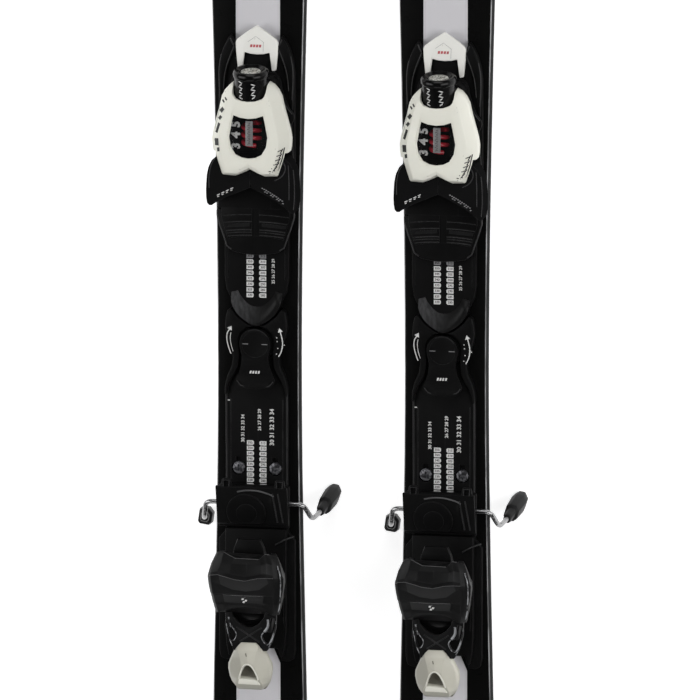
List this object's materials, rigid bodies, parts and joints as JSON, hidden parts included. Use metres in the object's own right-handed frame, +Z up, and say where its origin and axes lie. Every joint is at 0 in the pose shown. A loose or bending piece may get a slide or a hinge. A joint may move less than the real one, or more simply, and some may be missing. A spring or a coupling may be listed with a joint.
{
  "type": "pair of alpine skis with bindings",
  "caption": "Pair of shaped alpine skis with rail-mounted step-in bindings: toe clamp with window, length lever, ski brake and heel cup with opening lever.",
  "frame": {"origin": "on the floor under the middle of the pair, at the lowest point of the brake feet", "axes": "+Y towards the ski tips, +X to the skier's right, +Z up from the running base to the top sheet"},
  "size_m": [0.2844, 1.58, 0.124],
  "materials": {
    "top_sheet": "glossy black top sheet with a white centre stripe",
    "running_base": "sintered polyethylene, waxed",
    "edge_steel": "ground",
    "black_plastic": "moulded, satin, lightly scuffed",
    "white_plastic": "moulded, warm white, satin",
    "black_screw": "blackened",
    "bright_steel": "bright",
    "red_spring": "red coated",
    "clear_window": "clear moulded plastic",
    "slide_pad": "low-friction moulding"
  },
  "bodies": {
    "left_ski": {"left_ski_body": "top_sheet", "left_running_base": "running_base", "left_edge_left": "edge_steel", "left_edge_right": "edge_steel", "left_front_rail": "black_plastic", "left_rear_rail": "black_plastic", "left_front_cap": "white_plastic", "left_rail_screw_left": "black_screw", "left_rail_screw_right": "black_screw"},
    "left_length_lever": {"left_plate_lever": "black_plastic"},
    "left_toe_unit": {"left_toe_base": "black_plastic", "left_toe_housing": "black_plastic", "left_toe_cover": "white_plastic", "left_toe_window": "clear_window", "left_toe_spring": "red_spring"},
    "left_release_screw": {"left_toe_screw": "bright_steel"},
    "left_release_indicator": {"left_toe_indicator": "bright_steel"},
    "left_wing_left": {"left_toe_wing_left": "black_plastic"},
    "left_wing_right": {"left_toe_wing_right": "black_plastic"},
    "left_sole_pad": {"left_afd_plate": "slide_pad"},
    "left_heel_carriage": {"left_heel_base": "black_plastic", "left_brake_base": "black_plastic"},
    "left_brake_arms": {"left_brake_wire": "bright_steel", "left_brake_foot_left": "black_plastic", "left_brake_foot_right": "black_plastic"},
    "left_pedal": {"left_brake_pedal": "black_plastic"},
    "left_heel_tower": {"left_heel_housing": "black_plastic"},
    "left_cup": {"left_heel_cup": "black_plastic"},
    "left_opening_lever": {"left_heel_lever": "black_plastic", "left_heel_grip": "white_plastic"},
    "right_ski": {"right_ski_body": "top_sheet", "right_running_base": "running_base", "right_edge_left": "edge_steel", "right_edge_right": "edge_steel", "right_front_rail": "black_plastic", "right_rear_rail": "black_plastic", "right_front_cap": "white_plastic", "right_rail_screw_left": "black_screw", "right_rail_screw_right": "black_screw"},
    "right_length_lever": {"right_plate_lever": "black_plastic"},
    "right_toe_unit": {"right_toe_base": "black_plastic", "right_toe_housing": "black_plastic", "right_toe_cover": "white_plastic", "right_toe_window": "clear_window", "right_toe_spring": "red_spring"},
    "right_release_screw": {"right_toe_screw": "bright_steel"},
    "right_release_indicator": {"right_toe_indicator": "bright_steel"},
    "right_wing_left": {"right_toe_wing_left": "black_plastic"},
    "right_wing_right": {"right_toe_wing_right": "black_plastic"},
    "right_sole_pad": {"right_afd_plate": "slide_pad"},
    "right_heel_carriage": {"right_heel_base": "black_plastic", "right_brake_base": "black_plastic"},
    "right_brake_arms": {"right_brake_wire": "bright_steel", "right_brake_foot_left": "black_plastic", "right_brake_foot_right": "black_plastic"},
    "right_pedal": {"right_brake_pedal": "black_plastic"},
    "right_heel_tower": {"right_heel_housing": "black_plastic"},
    "right_cup": {"right_heel_cup": "black_plastic"},
    "right_opening_lever": {"right_heel_lever": "black_plastic", "right_heel_grip": "white_plastic"}
  },
  "joints": [
    {"name": "left_length_lever_turn", "type": "hinge", "parent": "left_ski", "child": "left_length_lever", "pos_m": [-0.0854, -0.01, 0.073], "axis": [0, 0, 1], "range_deg": [0, 90]},
    {"name": "left_toe_adjust", "type": "slide", "parent": "left_ski", "child": "left_toe_unit", "axis": [0, 1, 0], "range_m": [-0.025, 0.005]},
    {"name": "left_heel_adjust", "type": "slide", "parent": "left_ski", "child": "left_heel_carriage", "axis": [0, 1, 0], "range_m": [-0.005, 0.025]},
    {"name": "left_release_screw_turn", "type": "hinge", "parent": "left_toe_unit", "child": "left_release_screw", "pos_m": [-0.0854, 0.232, 0.0935], "axis": [0, 0.9877, 0.1564], "range_deg": [-1080, 1080]},
    {"name": "left_release_indicator_slide", "type": "slide", "parent": "left_toe_unit", "child": "left_release_indicator", "axis": [0, 1, 0], "range_m": [-0.0035, 0.0035]},
    {"name": "left_wing_left_swing", "type": "hinge", "parent": "left_toe_unit", "child": "left_wing_left", "pos_m": [-0.1024, 0.156, 0.074], "axis": [0, 0, -1], "range_deg": [0, 18], "stiffness_Nm_per_rad": 6},
    {"name": "left_wing_right_swing", "type": "hinge", "parent": "left_toe_unit", "child": "left_wing_right", "pos_m": [-0.0684, 0.156, 0.074], "axis": [0, 0, 1], "range_deg": [0, 18], "stiffness_Nm_per_rad": 6},
    {"name": "left_sole_pad_slide", "type": "slide", "parent": "left_toe_unit", "child": "left_sole_pad", "axis": [1, 0, 0], "range_m": [-0.004, 0.004], "stiffness_N_per_m": 900},
    {"name": "left_brake_fold", "type": "hinge", "parent": "left_heel_carriage", "child": "left_brake_arms", "pos_m": [-0.0854, -0.1509, 0.071], "axis": [-1, 0, 0], "range_deg": [0, 90], "stiffness_Nm_per_rad": 1.6, "springref_deg": -57.3},
    {"name": "left_pedal_press", "type": "hinge", "parent": "left_heel_carriage", "child": "left_pedal", "pos_m": [-0.0854, -0.168, 0.076], "axis": [-1, 0, 0], "range_deg": [0, 12]},
    {"name": "left_heel_pressure", "type": "slide", "parent": "left_heel_carriage", "child": "left_heel_tower", "axis": [0, 1, 0], "range_m": [-0.006, 0], "stiffness_N_per_m": 9000},
    {"name": "left_heel_close", "type": "hinge", "parent": "left_heel_tower", "child": "left_cup", "pos_m": [-0.0854, -0.238, 0.09], "axis": [-1, 0, 0], "range_deg": [0, 22]},
    {"name": "left_opening_lever_lift", "type": "hinge", "parent": "left_heel_tower", "child": "left_opening_lever", "pos_m": [-0.0854, -0.238, 0.09], "axis": [-1, 0, 0], "range_deg": [0, 30]},
    {"name": "ski_spacing", "type": "slide", "parent": "left_ski", "child": "right_ski", "axis": [1, 0, 0], "range_m": [-0.02, 0.25]},
    {"name": "right_length_lever_turn", "type": "hinge", "parent": "right_ski", "child": "right_length_lever", "pos_m": [0.0796, -0.01, 0.073], "axis": [0, 0, 1], "range_deg": [0, 90]},
    {"name": "right_toe_adjust", "type": "slide", "parent": "right_ski", "child": "right_toe_unit", "axis": [0, 1, 0], "range_m": [-0.025, 0.005]},
    {"name": "right_heel_adjust", "type": "slide", "parent": "right_ski", "child": "right_heel_carriage", "axis": [0, 1, 0], "range_m": [-0.005, 0.025]},
    {"name": "right_release_screw_turn", "type": "hinge", "parent": "right_toe_unit", "child": "right_release_screw", "pos_m": [0.0796, 0.232, 0.0935], "axis": [0, 0.9877, 0.1564], "range_deg": [-1080, 1080]},
    {"name": "right_release_indicator_slide", "type": "slide", "parent": "right_toe_unit", "child": "right_release_indicator", "axis": [0, 1, 0], "range_m": [-0.0035, 0.0035]},
    {"name": "right_wing_left_swing", "type": "hinge", "parent": "right_toe_unit", "child": "right_wing_left", "pos_m": [0.0626, 0.156, 0.074], "axis": [0, 0, -1], "range_deg": [0, 18], "stiffness_Nm_per_rad": 6},
    {"name": "right_wing_right_swing", "type": "hinge", "parent": "right_toe_unit", "child": "right_wing_right", "pos_m": [0.0966, 0.156, 0.074], "axis": [0, 0, 1], "range_deg": [0, 18], "stiffness_Nm_per_rad": 6},
    {"name": "right_sole_pad_slide", "type": "slide", "parent": "right_toe_unit", "child": "right_sole_pad", "axis": [1, 0, 0], "range_m": [-0.004, 0.004], "stiffness_N_per_m": 900},
    {"name": "right_brake_fold", "type": "hinge", "parent": "right_heel_carriage", "child": "right_brake_arms", "pos_m": [0.0796, -0.1509, 0.071], "axis": [-1, 0, 0], "range_deg": [0, 90], "stiffness_Nm_per_rad": 1.6, "springref_deg": -57.3},
    {"name": "right_pedal_press", "type": "hinge", "parent": "right_heel_carriage", "child": "right_pedal", "pos_m": [0.0796, -0.168, 0.076], "axis": [-1, 0, 0], "range_deg": [0, 12]},
    {"name": "right_heel_pressure", "type": "slide", "parent": "right_heel_carriage", "child": "right_heel_tower", "axis": [0, 1, 0], "range_m": [-0.006, 0], "stiffness_N_per_m": 9000},
    {"name": "right_heel_close", "type": "hinge", "parent": "right_heel_tower", "child": "right_cup", "pos_m": [0.0796, -0.238, 0.09], "axis": [-1, 0, 0], "range_deg": [0, 22]},
    {"name": "right_opening_lever_lift", "type": "hinge", "parent": "right_heel_tower", "child": "right_opening_lever", "pos_m": [0.0796, -0.238, 0.09], "axis": [-1, 0, 0], "range_deg": [0, 30]}
  ],
  "couplings": [
    {"joint": "left_heel_adjust", "follows": "left_toe_adjust", "ratio": -1},
    {"joint": "left_release_indicator_slide", "follows": "left_release_screw_turn", "m_per_rad": 0.00018568},
    {"joint": "left_pedal_press", "follows": "left_brake_fold", "ratio": 0.13333},
    {"joint": "left_opening_lever_lift", "follows": "left_heel_close", "ratio": 1.3636},
    {"joint": "right_heel_adjust", "follows": "right_toe_adjust", "ratio": -1},
    {"joint": "right_release_indicator_slide", "follows": "right_release_screw_turn", "m_per_rad": 0.00018568},
    {"joint": "right_pedal_press", "follows": "right_brake_fold", "ratio": 0.13333},
    {"joint": "right_opening_lever_lift", "follows": "right_heel_close", "ratio": 1.3636}
  ]
}
